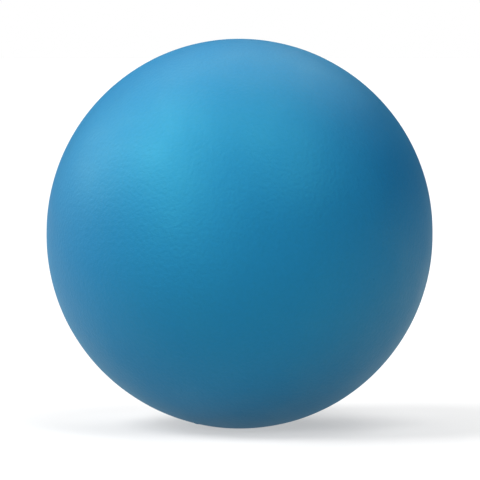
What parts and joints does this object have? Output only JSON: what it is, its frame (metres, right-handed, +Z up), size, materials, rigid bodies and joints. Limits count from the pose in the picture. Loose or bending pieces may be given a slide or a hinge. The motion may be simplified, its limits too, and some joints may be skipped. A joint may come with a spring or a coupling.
{
  "type": "stress ball",
  "caption": "Palm-sized round foam ball with a smooth matte moulded skin, squeezed in the hand and springing back to shape.",
  "frame": {"origin": "middle of the small flat under the ball, on the surface it stands on", "axes": "+Z up through the ball's centre and top; the ball is round about it"},
  "size_m": [0.063, 0.063, 0.0634],
  "materials": {
    "painted_skin": "matte sprayed blue paint on moulded foam skin",
    "core_foam": "open-celled soft polyurethane foam",
    "cut_foam": "knife-cut dense foam under the same blue paint"
  },
  "bodies": {
    "lower_half": {"skin_lower": "painted_skin", "foam_core": "core_foam", "gate_stub": "cut_foam"},
    "upper_half": {"skin_upper": "painted_skin"}
  },
  "joints": [
    {"name": "squeeze", "type": "slide", "parent": "lower_half", "child": "upper_half", "axis": [0, 0, -1], "range_m": [0, 0.025], "stiffness_N_per_m": 3000, "deforming": ["foam_core", "skin_lower", "skin_upper"]}
  ]
}
